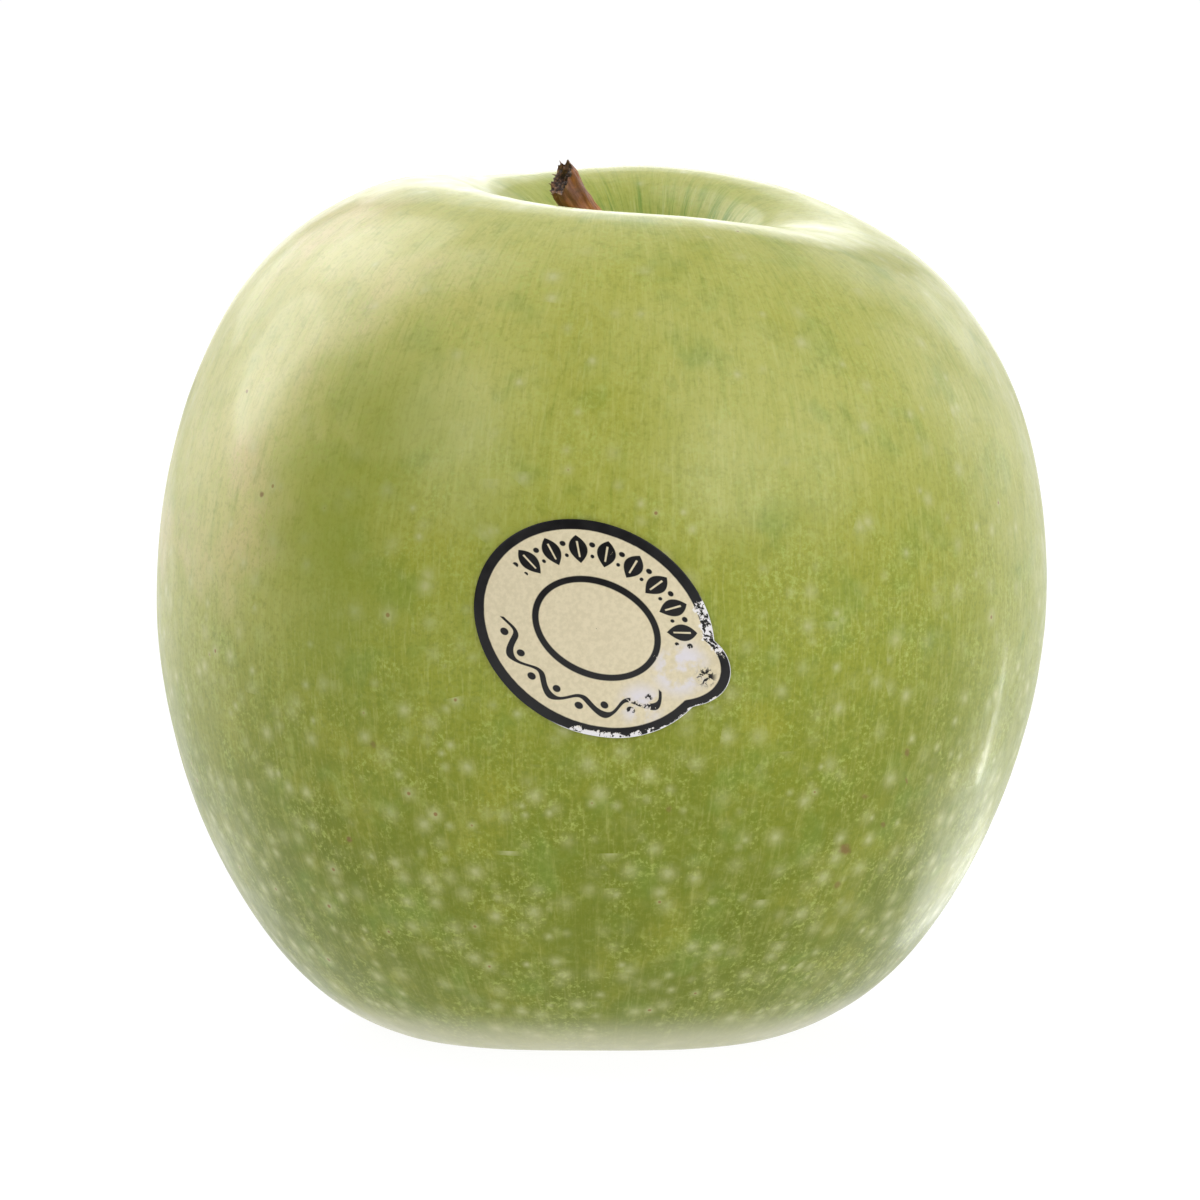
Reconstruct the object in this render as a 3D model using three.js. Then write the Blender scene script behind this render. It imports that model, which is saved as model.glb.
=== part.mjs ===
// Green apple: one fruit body, its woody stem in the stem cavity, the dried
// calyx (five sepals round a tuft of stamens) in the basin underneath, and a
// small paper fruit label on the cheek.
//
// Units are millimetres, +Z is up.  The fruit stands on the flattened crown of
// its base, which lies in the plane Z = 0.  -Y is the cheek that carries the
// label; +X is to its right.  The origin is under the middle of the fruit.

import * as THREE from 'three';
import { NURBSCurve } from 'three/addons/curves/NURBSCurve.js';

// ---------------------------------------------------------------- dimensions

// Meridian of the fruit as control points of a cubic B-spline [radius, height],
// from the floor of the calyx basin, out over the cheek, to the floor of the
// stem cavity.
const MERIDIAN = [
  [0, 8.4], [3.2, 8.4], [7.6, 7.4], [11.8, 3.3], [15.6, -0.3], [19.67, -0.76],
  [26.69, 3.95], [32.88, 11.99], [37.84, 23.11], [40.4, 36.01], [39.53, 48.73],
  [36.35, 59.53], [30.86, 68.02], [25.04, 72.46], [18.61, 74.97], [12.36, 74.22],
  [8.0, 68.6], [4.2, 63.9], [1.6, 62.1], [0, 62.1],
];
// facets per spline span, finer over the base crown and the cavity rim
const SPAN_STEPS = [1, 2, 3, 4, 5, 3, 3, 3, 3, 3, 3, 3, 3, 3, 2, 2, 1];
const SEGMENTS = 64;            // facets round the axis

const EQUATOR_Z = 38;           // height about which the core line leans
const LEAN = 0.0168;            // sideways lean of the core line, mm per mm
const CORE_X = 0.12;            // core line offset at EQUATOR_Z
const CAVITY_SHIFT_X = 0.92;    // extra sideways shift of the stem cavity's rim
const FLOOR_SHIFT_X = 3.1;      // and of its floor, beyond the rim's
// height of the shoulder round the cavity, [cos, sin] of 1, 2 and 3 x azimuth
const SHOULDER = [[-1.908, 1.026], [-0.364, 0.596], [-0.612, -0.029]];
// dips in the shoulder's height: [azimuth, half width, depth]
const SHOULDER_DIPS = [[Math.PI, 0.75, 0.85], [62 * Math.PI / 180, 0.4, 0.35]];
const DIPS_FROM_Z = 62;
const SHOULDER_FROM_Z = 30;
const CAVITY_FROM_Z = 44;
const LOBE_COUNT = 5;
const LOBE_AZIMUTH = -55 * Math.PI / 180;
const LOBE_RADIUS = 0.006;      // five soft ribs, fraction of the radius
const BASE_LOBE_RISE = 0.3;     // the crown lifts this much between two lobes
const BASE_LOBE_R = 17;
const BASE_LOBE_WIDTH = 6;

const STEM_PATH = [             // centre line, from the cavity floor outwards
  [4.4, 0.2, 63.45], [2.9, -0.1, 66.3], [0.45, -0.7, 70.0], [-2.35, -1.5, 74.0],
  [-3.95, -1.98, 76.8],
];
const STEM_RADIUS = [1.15, 1.1, 1.15, 1.2, 1.35, 1.5, 1.5];  // base to tip
const STEM_SIDES = 12;
// the stem broke off along a slanting plane that faces left and a little to the front
const STEM_BREAK_NORMAL = [-0.77, -0.42, 0.48];
const STEM_BREAK_AT = [-3.85, -2.0, 75.0];
const FIT_GAP = 0.3;            // clearance left between neighbouring pieces

const LABEL_CENTRE = [-0.5, 39.6];  // [x, z] on the front cheek
const LABEL_SEMI = [10.75, 8.7];    // half axes of the oval
const LABEL_TILT = -32 * Math.PI / 180;  // long axis runs down to the right
const LABEL_TAB = { r: 2.65, at: 9.6, turn: 9.5 * Math.PI / 180 };
const LABEL_THICKNESS = 0.25;
const LABEL_SIDES = 56;
const LABEL_RINGS = [0, 0.34, 0.68, 1];

const SEPAL_COUNT = 5;
const SEPAL_LENGTH = 6.4;
const SEPAL_WIDTH = 3.0;
const SEPAL_THICKNESS = 0.5;
const SEPAL_ROOT_R = 3.3;
const SEPAL_AZIMUTH = 18 * Math.PI / 180;
const TUFT_RADIUS = 1.5;
const TUFT_LENGTH = 4.2;

// ------------------------------------------------------------------ colours

const COLOURS = {
  apple: { color: 0x93a04a, roughness: 0.42, metalness: 0 },
  stem: { color: 0x6b4423, roughness: 0.8, metalness: 0 },
  label: { color: 0xcfc4a2, roughness: 0.35, metalness: 0 },
  sepal: { color: 0x6f5b3a, roughness: 0.9, metalness: 0 },
  tuft: { color: 0x4a3822, roughness: 0.95, metalness: 0 },
};
const material = (key) => new THREE.MeshStandardMaterial({ ...COLOURS[key] });

// ------------------------------------------------------------ fruit surface

const smooth = (t) => { const x = Math.min(1, Math.max(0, t)); return x * x * (3 - 2 * x); };

const DEGREE = 3;
const SPANS = MERIDIAN.length - DEGREE;
const knots = [
  ...Array(DEGREE + 1).fill(0),
  ...Array.from({ length: SPANS - 1 }, (_, i) => i + 1),
  ...Array(DEGREE + 1).fill(SPANS),
];
const meridian = new NURBSCurve(
  DEGREE, knots, MERIDIAN.map(([r, z]) => new THREE.Vector4(r, z, 0, 1)),
);
const profile = (u) => {
  const p = meridian.getPoint(Math.min(1, Math.max(0, u)));
  return [p.x, p.y];
};

// highest point of the meridian: the rim of the stem cavity
const rim = (() => {
  let best = { u: 0.5, r: 0, z: -1 };
  for (let i = 0; i <= 800; i++) {
    const u = 0.5 + i / 1600;
    const [r, z] = profile(u);
    if (z > best.z) best = { u, r, z };
  }
  return best;
})();

// point of the skin at meridian parameter u and azimuth a
function skin(u, a) {
  const [r, z] = profile(u);
  const upper = u > 0.4;
  const outside = u <= rim.u;
  const lift = !upper ? 0
    : outside ? smooth((z - SHOULDER_FROM_Z) / (rim.z - SHOULDER_FROM_Z))
      : smooth(r / rim.r);
  const cavity = !upper ? 0 : outside ? smooth((z - CAVITY_FROM_Z) / (rim.z - CAVITY_FROM_Z)) : 1;
  let shoulder = 0;
  SHOULDER.forEach(([c, s], k) => {
    shoulder += c * Math.cos((k + 1) * a) + s * Math.sin((k + 1) * a);
  });
  const dipLift = !upper ? 0
    : outside ? smooth((z - DIPS_FROM_Z) / (rim.z - DIPS_FROM_Z)) : smooth(r / rim.r);
  let dips = 0;
  SHOULDER_DIPS.forEach(([azimuth, width, depth]) => {
    const off = Math.atan2(Math.sin(a - azimuth), Math.cos(a - azimuth)) / width;
    dips += depth * Math.exp(-off * off);
  });
  const axisFade = smooth(r / 14);
  const ribs = 1 + LOBE_RADIUS * axisFade * Math.cos(LOBE_COUNT * (a - LOBE_AZIMUTH));
  const floor = upper && !outside ? 1 - smooth(r / rim.r) : 0;
  const cx = CORE_X + LEAN * (z - EQUATOR_Z) + CAVITY_SHIFT_X * cavity + FLOOR_SHIFT_X * floor;
  const base = upper ? 0 : Math.exp(-(((r - BASE_LOBE_R) / BASE_LOBE_WIDTH) ** 2));
  const rise = BASE_LOBE_RISE * base * 0.5 * (1 - Math.cos(LOBE_COUNT * (a - LOBE_AZIMUTH)));
  return new THREE.Vector3(
    cx + r * ribs * Math.cos(a),
    r * ribs * Math.sin(a),
    Math.max(0, z + lift * shoulder - dipLift * dips + rise),
  );
}

// outward normal of the skin
function skinNormal(u, a) {
  const e = 1e-3;
  const du = skin(u + e, a).sub(skin(u - e, a));
  const da = skin(u, a + e).sub(skin(u, a - e));
  return da.cross(du).normalize();
}

// where the front cheek lies at a given x and z
function frontCheek(x, z) {
  let u = 0.52;
  let a = -Math.PI / 2;
  for (let i = 0; i < 30; i++) {
    const p = skin(u, a);
    const ex = x - p.x;
    const ez = z - p.z;
    if (Math.hypot(ex, ez) < 1e-7) break;
    const e = 1e-4;
    const pu = skin(u + e, a).sub(p).divideScalar(e);
    const pa = skin(u, a + e).sub(p).divideScalar(e);
    const det = pu.x * pa.z - pa.x * pu.z;
    u += (ex * pa.z - pa.x * ez) / det;
    a += (pu.x * ez - ex * pu.z) / det;
  }
  return { u, a };
}

// Lays a lathe's vertices out with place(j, i): j along the profile, i round it.
function warpLathe(points, segments, place) {
  const geometry = new THREE.LatheGeometry(points.map(([r, z]) => new THREE.Vector2(r, z)), segments);
  const pos = geometry.attributes.position;
  for (let i = 0; i <= segments; i++) {
    for (let j = 0; j < points.length; j++) {
      const p = place(j, i % segments);
      pos.setXYZ(i * points.length + j, p.x, p.y, p.z);
    }
  }
  geometry.deleteAttribute('normal');
  geometry.deleteAttribute('uv');
  return outward(geometry);
}

// Turns every face over if the body is inside out.
function outward(geometry) {
  const pos = geometry.attributes.position;
  const index = geometry.index;
  const a = new THREE.Vector3(), b = new THREE.Vector3(), c = new THREE.Vector3();
  let volume = 0;
  for (let i = 0; i < index.count; i += 3) {
    a.fromBufferAttribute(pos, index.getX(i));
    b.fromBufferAttribute(pos, index.getX(i + 1));
    c.fromBufferAttribute(pos, index.getX(i + 2));
    volume += a.dot(b.cross(c));
  }
  if (volume < 0) {
    for (let i = 0; i < index.count; i += 3) {
      const t = index.getX(i + 1);
      index.setX(i + 1, index.getX(i + 2));
      index.setX(i + 2, t);
    }
  }
  return geometry;
}

function named(name, geometry, key) {
  const mesh = new THREE.Mesh(geometry, material(key));
  mesh.name = name;
  return mesh;
}

// -------------------------------------------------------------------- fruit

function appleGeometry() {
  const us = [0];
  SPAN_STEPS.forEach((n, k) => {
    for (let s = 1; s <= n; s++) us.push((k + s / n) / SPANS);
  });
  const points = us.map((u) => profile(u));
  points[0][0] = 0;
  points[points.length - 1][0] = 0;
  return warpLathe(points, SEGMENTS, (j, i) => {
    const p = skin(us[j], (i / SEGMENTS) * 2 * Math.PI);
    return p;
  });
}

// --------------------------------------------------------------------- stem

function stemGeometry() {
  const path = new THREE.CatmullRomCurve3(STEM_PATH.map((p) => new THREE.Vector3(...p)));
  const rings = STEM_RADIUS.length - 1;
  const geometry = new THREE.CylinderGeometry(1, 1, 1, STEM_SIDES, rings);
  geometry.deleteAttribute('normal');
  geometry.deleteAttribute('uv');
  const frames = path.computeFrenetFrames(rings, false);
  const breakAt = new THREE.Vector3(...STEM_BREAK_AT);
  const breakNormal = new THREE.Vector3(...STEM_BREAK_NORMAL).normalize();
  const pos = geometry.attributes.position;
  for (let k = 0; k < pos.count; k++) {
    const t = pos.getY(k) + 0.5;             // 0 at the base, 1 at the tip
    const station = Math.round(t * rings);
    const x = pos.getX(k) * STEM_RADIUS[station];
    const z = pos.getZ(k) * STEM_RADIUS[station];
    const p = path.getPointAt(station / rings)
      .addScaledVector(frames.normals[station], x)
      .addScaledVector(frames.binormals[station], z);
    if (station === rings) {
      const along = frames.tangents[station];
      p.addScaledVector(along, breakAt.clone().sub(p).dot(breakNormal) / along.dot(breakNormal));
    }
    pos.setXYZ(k, p.x, p.y, p.z);
  }
  return outward(geometry);
}

// -------------------------------------------------------------------- label

// distance from the label's middle to its edge, in direction t of its own axes
function labelEdge(t) {
  const [a, b] = LABEL_SEMI;
  const oval = (a * b) / Math.hypot(b * Math.cos(t), a * Math.sin(t));
  const d = t - LABEL_TAB.turn;
  const across = LABEL_TAB.at * Math.sin(d);
  let tab = 0;
  if (Math.abs(across) < LABEL_TAB.r && Math.cos(d) > 0) {
    tab = LABEL_TAB.at * Math.cos(d) + Math.sqrt(LABEL_TAB.r ** 2 - across ** 2);
  }
  return Math.max(oval, tab);
}

function labelGeometry() {
  const inner = LABEL_RINGS.map((r) => [r, 0]);
  const outer = LABEL_RINGS.map((r) => [r, 1]).reverse();
  const points = [...inner, ...outer];
  return warpLathe(points, LABEL_SIDES, (j, i) => {
    const t = (i / LABEL_SIDES) * 2 * Math.PI;
    const [k, side] = points[j];
    const reach = k * labelEdge(t);
    const x = LABEL_CENTRE[0] + reach * Math.cos(t + LABEL_TILT);
    const z = LABEL_CENTRE[1] + reach * Math.sin(t + LABEL_TILT);
    const { u, a } = frontCheek(x, z);
    return skin(u, a).addScaledVector(skinNormal(u, a), FIT_GAP + side * LABEL_THICKNESS);
  });
}

// ------------------------------------------------------------------- calyx

const basin = { x: skin(0, 0).x, z: skin(0, 0).z };

// One sepal: a flattened, pointed scale that drops from the basin floor, pinches
// in and flares outwards at its tip.
function sepalGeometry(n) {
  const geometry = new THREE.SphereGeometry(1, 10, 8);
  geometry.deleteAttribute('normal');
  geometry.deleteAttribute('uv');
  const turn = SEPAL_AZIMUTH + (n / SEPAL_COUNT) * 2 * Math.PI;
  const curl = 1 + 0.25 * Math.sin(2.3 * n + 0.7);
  const pos = geometry.attributes.position;
  for (let k = 0; k < pos.count; k++) {
    const s = (1 - pos.getY(k)) / 2;          // 0 at the root, 1 at the tip
    const taper = 1 - 0.45 * s;
    const across = pos.getX(k) * 0.5 * SEPAL_WIDTH * taper;
    const thick = pos.getZ(k) * 0.5 * SEPAL_THICKNESS;
    const radial = SEPAL_ROOT_R - 1.5 * Math.sin(Math.PI * Math.min(1, s * 1.15)) * 0.7
      + 2.6 * curl * s ** 3 + thick + 0.06 * across * across;
    const drop = FIT_GAP + 0.25 + SEPAL_LENGTH * 0.8 * s - 0.7 * s ** 4 * curl;
    const p = new THREE.Vector3(radial, across, -drop);
    p.applyAxisAngle(new THREE.Vector3(0, 0, 1), turn);
    pos.setXYZ(k, basin.x + p.x, p.y, basin.z + p.z);
  }
  return outward(geometry);
}

// The withered stamens, matted together into one small tuft.
function tuftGeometry() {
  const steps = 6;
  const points = [[0, 0]];
  for (let k = 0; k <= steps; k++) {
    const s = k / steps;
    points.push([TUFT_RADIUS * (0.75 + 0.35 * Math.sin(Math.PI * s)) * (1 - 0.35 * s), s]);
  }
  points.push([0, 1]);
  const sides = 14;
  return warpLathe(points, sides, (j, i) => {
    const a = (i / sides) * 2 * Math.PI;
    const [r, s] = points[j];
    const ragged = r * (1 + 0.12 * Math.sin(3 * a + 2 * s) * s);
    const end = s === 1 && r > 0 ? 0.5 * Math.sin(4 * a) : 0;
    return new THREE.Vector3(
      basin.x + ragged * Math.cos(a),
      ragged * Math.sin(a),
      basin.z - FIT_GAP - s * TUFT_LENGTH - end * 0.6,
    );
  });
}

// ----------------------------------------------------------------- assembly

const fruit = new THREE.Group();
fruit.add(named('apple', appleGeometry(), 'apple'));
fruit.add(named('stem', stemGeometry(), 'stem'));
fruit.add(named('sticker', labelGeometry(), 'label'));
for (let n = 0; n < SEPAL_COUNT; n++) {
  fruit.add(named(`sepal_${n + 1}`, sepalGeometry(n), 'sepal'));
}
fruit.add(named('stamen_tuft', tuftGeometry(), 'tuft'));

// Bring the middle of the whole object over the origin.
const bounds = new THREE.Box3().setFromObject(fruit);
const centred = new THREE.Group();
fruit.position.set(-(bounds.min.x + bounds.max.x) / 2, -(bounds.min.y + bounds.max.y) / 2, 0);
centred.add(fruit);

export default centred;
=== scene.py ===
import math

import bpy
import numpy as np
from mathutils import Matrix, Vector, noise


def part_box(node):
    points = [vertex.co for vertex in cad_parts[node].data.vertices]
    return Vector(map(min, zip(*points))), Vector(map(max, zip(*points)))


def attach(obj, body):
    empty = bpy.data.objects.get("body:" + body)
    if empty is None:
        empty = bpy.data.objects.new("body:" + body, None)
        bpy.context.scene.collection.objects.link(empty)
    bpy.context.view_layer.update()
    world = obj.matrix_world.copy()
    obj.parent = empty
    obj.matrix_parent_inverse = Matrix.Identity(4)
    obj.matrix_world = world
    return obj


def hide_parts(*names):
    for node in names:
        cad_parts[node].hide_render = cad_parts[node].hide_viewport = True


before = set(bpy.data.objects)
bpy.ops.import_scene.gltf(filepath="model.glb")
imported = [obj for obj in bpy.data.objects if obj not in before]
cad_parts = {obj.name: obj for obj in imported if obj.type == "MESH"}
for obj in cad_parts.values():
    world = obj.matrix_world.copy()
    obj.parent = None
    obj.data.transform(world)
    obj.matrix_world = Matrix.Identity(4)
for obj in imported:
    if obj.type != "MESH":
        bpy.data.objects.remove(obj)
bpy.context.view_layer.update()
MM = 0.001
rng = np.random.default_rng(7)

# ------------------------------------------------------------------ dimensions
# The fruit's surface is the one that the CAD part is built on, in millimetres.

MERIDIAN = np.array([
    (0, 8.4), (3.2, 8.4), (7.6, 7.4), (11.8, 3.3), (15.6, -0.3), (19.67, -0.76),
    (26.69, 3.95), (32.88, 11.99), (37.84, 23.11), (40.4, 36.01), (39.53, 48.73),
    (36.35, 59.53), (30.86, 68.02), (25.04, 72.46), (18.61, 74.97), (12.36, 74.22),
    (8.0, 68.6), (4.2, 63.9), (1.6, 62.1), (0, 62.1),
], float)
SPAN_STEPS = [1, 2, 3, 4, 5, 3, 3, 3, 3, 3, 3, 3, 3, 3, 2, 2, 1]
SEGMENTS = 64
EQUATOR_Z = 38.0
LEAN = 0.0168
CORE_X = 0.12
CAVITY_SHIFT_X = 0.92
FLOOR_SHIFT_X = 3.1
SHOULDER = [(-1.908, 1.026), (-0.364, 0.596), (-0.612, -0.029)]
SHOULDER_DIPS = [(math.pi, 0.75, 0.85), (math.radians(62), 0.4, 0.35)]
DIPS_FROM_Z = 62.0
SHOULDER_FROM_Z = 30.0
CAVITY_FROM_Z = 44.0
LOBES = 5
LOBE_AZIMUTH = math.radians(-55)
LOBE_RADIUS = 0.006
BASE_LOBE_RISE = 0.3
BASE_LOBE_R = 17.0
BASE_LOBE_WIDTH = 6.0

# centre line of the bark as grown, and the plane that the stem broke along
STEM_LINE = np.array([
    (4.4, 0.2, 63.45), (2.9, -0.1, 66.3), (0.45, -0.7, 70.0), (-2.35, -1.5, 74.0),
    (-3.95, -1.98, 76.8),
], float)
STEM_BREAK_NORMAL = (-0.77, -0.42, 0.48)
STEM_BREAK_AT = (-3.85, -2.0, 75.0)

LABEL_CENTRE = (-0.5, 39.6)
LABEL_SEMI = (10.75, 8.7)
LABEL_TILT = math.radians(-32)
LABEL_TAB_R = 2.65
LABEL_TAB_AT = 9.6
LABEL_TAB_TURN = math.radians(9.5)

SEPALS = 5
SEPAL_AZIMUTH = math.radians(18)

CAMERA_DISTANCE = 0.8
CAMERA_LENS = 267.84
CAMERA_ELEVATION = 0.10539
CAMERA_HEIGHT = 37.9

# --------------------------------------------------------------- fruit surface


def smooth(t):
    t = np.clip(t, 0.0, 1.0)
    return t * t * (3.0 - 2.0 * t)


def bspline(ctrl, u):
    """Clamped uniform cubic B-spline at parameters u in 0..1."""
    n, p = len(ctrl), 3
    spans = n - p
    knots = np.concatenate([np.zeros(p + 1), np.arange(1, spans), np.full(p + 1, spans)]).astype(float)
    t = np.clip(np.asarray(u, float) * spans, 0, spans - 1e-9)
    k = np.floor(t).astype(int) + p
    d = [ctrl[k - p + j].astype(float) for j in range(p + 1)]
    for r in range(1, p + 1):
        for j in range(p, r - 1, -1):
            i = k - p + j
            a = ((t - knots[i]) / (knots[i + p - r + 1] - knots[i]))[..., None]
            d[j] = (1 - a) * d[j - 1] + a * d[j]
    return d[p]


_fine = 0.5 + np.arange(801) / 1600.0
_top = bspline(MERIDIAN, _fine)
_i = int(np.argmax(_top[:, 1]))
RIM_U, RIM_R, RIM_Z = float(_fine[_i]), float(_top[_i, 0]), float(_top[_i, 1])


def skin_raw(u, a):
    u, a = np.broadcast_arrays(np.asarray(u, float), np.asarray(a, float))
    p = bspline(MERIDIAN, np.clip(u, 0, 1))
    r, z = p[..., 0], p[..., 1]
    upper = u > 0.4
    outside = u <= RIM_U
    lift = np.where(outside, smooth((z - SHOULDER_FROM_Z) / (RIM_Z - SHOULDER_FROM_Z)), smooth(r / RIM_R))
    lift = np.where(upper, lift, 0.0)
    cavity = np.where(outside, smooth((z - CAVITY_FROM_Z) / (RIM_Z - CAVITY_FROM_Z)), 1.0)
    cavity = np.where(upper, cavity, 0.0)
    shoulder = 0.0
    for k, (c, s) in enumerate(SHOULDER, 1):
        shoulder = shoulder + c * np.cos(k * a) + s * np.sin(k * a)
    dips = 0.0
    for azimuth, width, depth in SHOULDER_DIPS:
        off = np.arctan2(np.sin(a - azimuth), np.cos(a - azimuth)) / width
        dips = dips + depth * np.exp(-off * off)
    dip_lift = np.where(outside, smooth((z - DIPS_FROM_Z) / (RIM_Z - DIPS_FROM_Z)), smooth(r / RIM_R))
    dip_lift = np.where(upper, dip_lift, 0.0)
    wave = np.cos(LOBES * (a - LOBE_AZIMUTH))
    ribs = 1 + LOBE_RADIUS * smooth(r / 14.0) * wave
    floor = np.where(upper & ~outside, 1 - smooth(r / RIM_R), 0.0)
    cx = CORE_X + LEAN * (z - EQUATOR_Z) + CAVITY_SHIFT_X * cavity + FLOOR_SHIFT_X * floor
    base = np.where(upper, 0.0, np.exp(-(((r - BASE_LOBE_R) / BASE_LOBE_WIDTH) ** 2)))
    rise = BASE_LOBE_RISE * base * 0.5 * (1 - wave)
    return np.stack([cx + r * ribs * np.cos(a), r * ribs * np.sin(a), z + lift * shoulder - dip_lift * dips + rise], -1)


def skin(u, a):
    p = skin_raw(u, a)
    # the crown is pressed flat where it stands
    z = p[..., 2]
    p[..., 2] = np.where(z < 1.0, 0.5 * (z + np.sqrt(z * z + 0.004)), z)
    return p


def skin_normal(u, a):
    e = 1e-3
    du = skin_raw(u + e, a) - skin_raw(u - e, a)
    da = skin_raw(u, a + e) - skin_raw(u, a - e)
    n = np.cross(da, du)
    return n / np.maximum(np.linalg.norm(n, axis=-1, keepdims=True), 1e-12)


def front_cheek(x, z):
    """Parameters of the front cheek at the given x and z, by Newton steps."""
    u = np.full(np.shape(x), 0.52)
    a = np.full(np.shape(x), -math.pi / 2)
    e = 1e-4
    for _ in range(14):
        p = skin_raw(u, a)
        ex, ez = x - p[..., 0], z - p[..., 2]
        pu = (skin_raw(u + e, a) - p) / e
        pa = (skin_raw(u, a + e) - p) / e
        det = pu[..., 0] * pa[..., 2] - pa[..., 0] * pu[..., 2]
        u = u + (ex * pa[..., 2] - pa[..., 0] * ez) / det
        a = a + (pu[..., 0] * ez - ex * pu[..., 2]) / det
    return u, a


# The CAD part is centred over the origin after it is built: find that shift.
_us = [0.0]
for _k, _n in enumerate(SPAN_STEPS):
    _us += [(_k + s / _n) / len(SPAN_STEPS) for s in range(1, _n + 1)]
_pts = skin(np.array(_us)[:, None], (np.arange(SEGMENTS) / SEGMENTS * 2 * math.pi)[None, :])
_lo, _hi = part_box("apple")
SHIFT = np.array([
    (_lo[0] + _hi[0]) / 2 / MM - (_pts[..., 0].min() + _pts[..., 0].max()) / 2,
    (_lo[1] + _hi[1]) / 2 / MM - (_pts[..., 1].min() + _pts[..., 1].max()) / 2,
    0.0,
])

# --------------------------------------------------------------- mesh helpers


def make_mesh(name, verts_mm, faces, smooth_shading=True):
    me = bpy.data.meshes.new(name)
    v = (np.asarray(verts_mm, float) + SHIFT) * MM
    me.from_pydata(v.tolist(), [], faces)
    me.update()
    if smooth_shading:
        me.polygons.foreach_set("use_smooth", np.ones(len(me.polygons), bool))
    ob = bpy.data.objects.new(name, me)
    bpy.context.scene.collection.objects.link(ob)
    return ob


def point_attr(ob, name, kind, data):
    at = ob.data.attributes.new(name, kind, "POINT")
    key = {"FLOAT": "value", "FLOAT_VECTOR": "vector", "FLOAT_COLOR": "color"}[kind]
    at.data.foreach_set(key, np.asarray(data, np.float32).ravel())


def grid_faces(rows, cols, closed=True, start=0, flip=False):
    """Quads between rows of a grid whose vertex (j, i) is start + j * cols + i."""
    j, i = np.meshgrid(np.arange(rows - 1), np.arange(cols if closed else cols - 1), indexing="ij")
    i2 = (i + 1) % cols
    q = np.stack([j * cols + i, j * cols + i2, (j + 1) * cols + i2, (j + 1) * cols + i], -1).reshape(-1, 4) + start
    return (q[:, ::-1] if flip else q).tolist()


def fractal(points, size, octaves=3, seed=0.0):
    """Soft noise in -1..1 at points in mm, with features of the given size."""
    out = np.zeros(len(points))
    amp, total, f = 1.0, 0.0, 1.0 / size
    for k in range(octaves):
        q = points * f + (seed + 11.3 * k)
        out += amp * np.array([noise.noise(Vector(p)) for p in q])
        total += amp
        amp *= 0.5
        f *= 2.03
    return out / total * 1.6


# ------------------------------------------------------------- shader helpers


def lin(r, g, b, a=1.0):
    """Linear colour from 8-bit display values."""
    def f(c):
        c /= 255.0
        return c / 12.92 if c <= 0.04045 else ((c + 0.055) / 1.055) ** 2.4
    return (f(r), f(g), f(b), a)


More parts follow.
